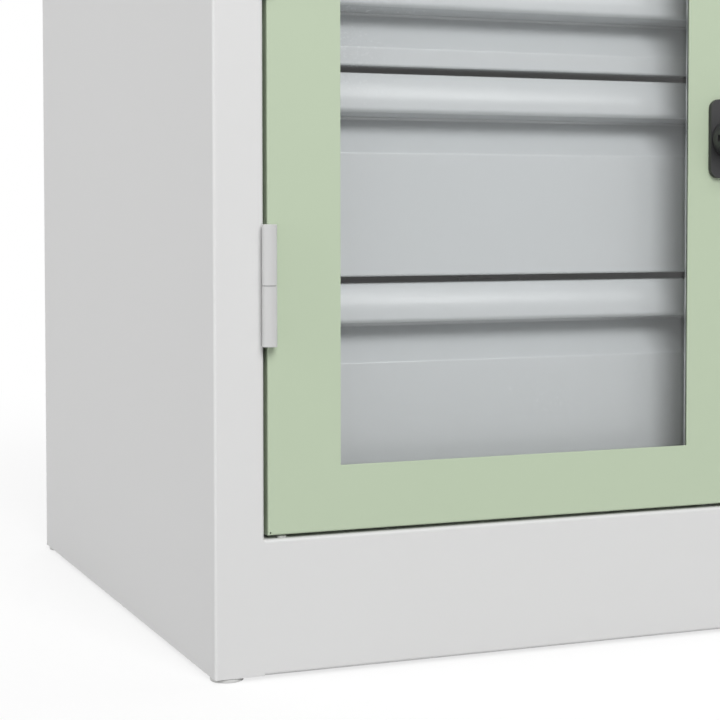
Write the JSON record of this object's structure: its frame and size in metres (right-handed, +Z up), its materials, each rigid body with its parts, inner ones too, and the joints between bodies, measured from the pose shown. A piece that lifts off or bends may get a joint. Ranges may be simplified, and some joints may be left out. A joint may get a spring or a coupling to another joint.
{
  "type": "storage cabinet",
  "caption": "Free-standing sheet-steel storage cabinet with a glazed hinged door, a stack of grip-front drawers behind it, a rod lock and levelling feet.",
  "frame": {"origin": "on the floor, under the middle of the bounding box", "axes": "+Z up, -Y out of the door, +X to the right as seen from in front of the door"},
  "size_m": [0.5, 0.6316, 0.75],
  "materials": {
    "light_grey_paint": "smooth satin powder coat, light grey",
    "green_paint": "smooth satin powder coat, pale green",
    "grey_paint": "satin powder coat, cool grey",
    "hinge_grey_paint": "smooth satin paint, a darker light grey",
    "zinc_plated_steel": "bright zinc plate",
    "nickel_plate": "satin nickel plate",
    "clear_acrylic": "clear polished acrylic sheet",
    "pale_grey_plastic": "moulded pale grey plastic",
    "grey_nylon": "dark grey nylon",
    "black_plastic": "fine-grained black plastic",
    "black_rubber": "matt rubber"
  },
  "bodies": {
    "cabinet": {"left_side_panel": "light_grey_paint", "right_side_panel": "light_grey_paint", "top_panel": "light_grey_paint", "plinth_panel": "light_grey_paint", "bottom_panel": "light_grey_paint", "back_panel": "light_grey_paint", "back_rivets": "zinc_plated_steel", "foot_brackets": "zinc_plated_steel", "left_uprights": "zinc_plated_steel", "right_uprights": "zinc_plated_steel", "hinge_side_filler": "light_grey_paint", "left_slide_rails": "zinc_plated_steel", "right_slide_rails": "zinc_plated_steel", "rail_screws": "zinc_plated_steel", "door_buffers": "black_rubber", "door_glides": "pale_grey_plastic", "hinge_frame_halves": "hinge_grey_paint", "hinge_pins": "zinc_plated_steel", "hinge_washers": "grey_nylon"},
    "door": {"door_leaf": "green_paint", "vision_pane": "clear_acrylic", "pane_strips": "zinc_plated_steel", "pane_fixings": "zinc_plated_steel", "hinge_door_halves": "hinge_grey_paint", "lock_rosette": "black_plastic", "rosette_screws": "zinc_plated_steel", "lock_case": "zinc_plated_steel", "rod_guides": "zinc_plated_steel"},
    "knob": {"lock_knob": "black_plastic", "lock_spindle": "zinc_plated_steel", "lock_cam": "zinc_plated_steel"},
    "key_plug": {"lock_cylinder": "nickel_plate"},
    "upper_rod": {"upper_lock_rod": "zinc_plated_steel"},
    "lower_rod": {"lower_lock_rod": "zinc_plated_steel"},
    "drawer_1": {"drawer_1_front": "grey_paint", "drawer_1_grip": "grey_paint", "drawer_1_box": "grey_paint", "drawer_1_runners": "zinc_plated_steel"},
    "drawer_2": {"drawer_2_front": "grey_paint", "drawer_2_grip": "grey_paint", "drawer_2_box": "grey_paint", "drawer_2_runners": "zinc_plated_steel"},
    "drawer_3": {"drawer_3_front": "grey_paint", "drawer_3_grip": "grey_paint", "drawer_3_box": "grey_paint", "drawer_3_runners": "zinc_plated_steel"},
    "drawer_4": {"drawer_4_front": "grey_paint", "drawer_4_grip": "grey_paint", "drawer_4_box": "grey_paint", "drawer_4_runners": "zinc_plated_steel"},
    "drawer_5": {"drawer_5_front": "grey_paint", "drawer_5_grip": "grey_paint", "drawer_5_box": "grey_paint", "drawer_5_runners": "zinc_plated_steel"},
    "foot_front_left_body": {"foot_front_left": "pale_grey_plastic"},
    "foot_rear_left_body": {"foot_rear_left": "pale_grey_plastic"},
    "foot_front_right_body": {"foot_front_right": "pale_grey_plastic"},
    "foot_rear_right_body": {"foot_rear_right": "pale_grey_plastic"}
  },
  "joints": [
    {"name": "door_swing", "type": "hinge", "parent": "cabinet", "child": "door", "pos_m": [-0.209, -0.2914, 0.4255], "axis": [0, 0, -1], "range_deg": [0, 180]},
    {"name": "knob_turn", "type": "hinge", "parent": "door", "child": "knob", "pos_m": [0.1867, -0.28545, 0.4075], "axis": [0, -1, 0], "range_deg": [0, 90]},
    {"name": "key_turn", "type": "hinge", "parent": "knob", "child": "key_plug", "pos_m": [0.1867, -0.28545, 0.4075], "axis": [0, -1, 0], "range_deg": [0, 90]},
    {"name": "upper_rod_slide", "type": "slide", "parent": "door", "child": "upper_rod", "axis": [0, 0, 1], "range_m": [0, 0.014]},
    {"name": "lower_rod_slide", "type": "slide", "parent": "door", "child": "lower_rod", "axis": [0, 0, -1], "range_m": [0, 0.014]},
    {"name": "drawer_1_slide", "type": "slide", "parent": "cabinet", "child": "drawer_1", "axis": [0, -1, 0], "range_m": [0, 0.36]},
    {"name": "drawer_2_slide", "type": "slide", "parent": "cabinet", "child": "drawer_2", "axis": [0, -1, 0], "range_m": [0, 0.36]},
    {"name": "drawer_3_slide", "type": "slide", "parent": "cabinet", "child": "drawer_3", "axis": [0, -1, 0], "range_m": [0, 0.36]},
    {"name": "drawer_4_slide", "type": "slide", "parent": "cabinet", "child": "drawer_4", "axis": [0, -1, 0], "range_m": [0, 0.36]},
    {"name": "drawer_5_slide", "type": "slide", "parent": "cabinet", "child": "drawer_5", "axis": [0, -1, 0], "range_m": [0, 0.36]},
    {"name": "foot_front_left_screw", "type": "slide", "parent": "cabinet", "child": "foot_front_left_body", "axis": [0, 0, -1], "range_m": [0, 0.015]},
    {"name": "foot_rear_left_screw", "type": "slide", "parent": "cabinet", "child": "foot_rear_left_body", "axis": [0, 0, -1], "range_m": [0, 0.015]},
    {"name": "foot_front_right_screw", "type": "slide", "parent": "cabinet", "child": "foot_front_right_body", "axis": [0, 0, -1], "range_m": [0, 0.015]},
    {"name": "foot_rear_right_screw", "type": "slide", "parent": "cabinet", "child": "foot_rear_right_body", "axis": [0, 0, -1], "range_m": [0, 0.015]}
  ],
  "couplings": [
    {"joint": "upper_rod_slide", "follows": "knob_turn", "m_per_rad": 0.0089126},
    {"joint": "lower_rod_slide", "follows": "knob_turn", "m_per_rad": 0.0089126},
    {"joint": "drawer_1_slide", "follows": "door_swing", "m_per_rad": 0.04},
    {"joint": "drawer_2_slide", "follows": "door_swing", "m_per_rad": 0.049},
    {"joint": "drawer_3_slide", "follows": "door_swing", "m_per_rad": 0.058},
    {"joint": "drawer_4_slide", "follows": "door_swing", "m_per_rad": 0.067},
    {"joint": "drawer_5_slide", "follows": "door_swing", "m_per_rad": 0.076}
  ]
}
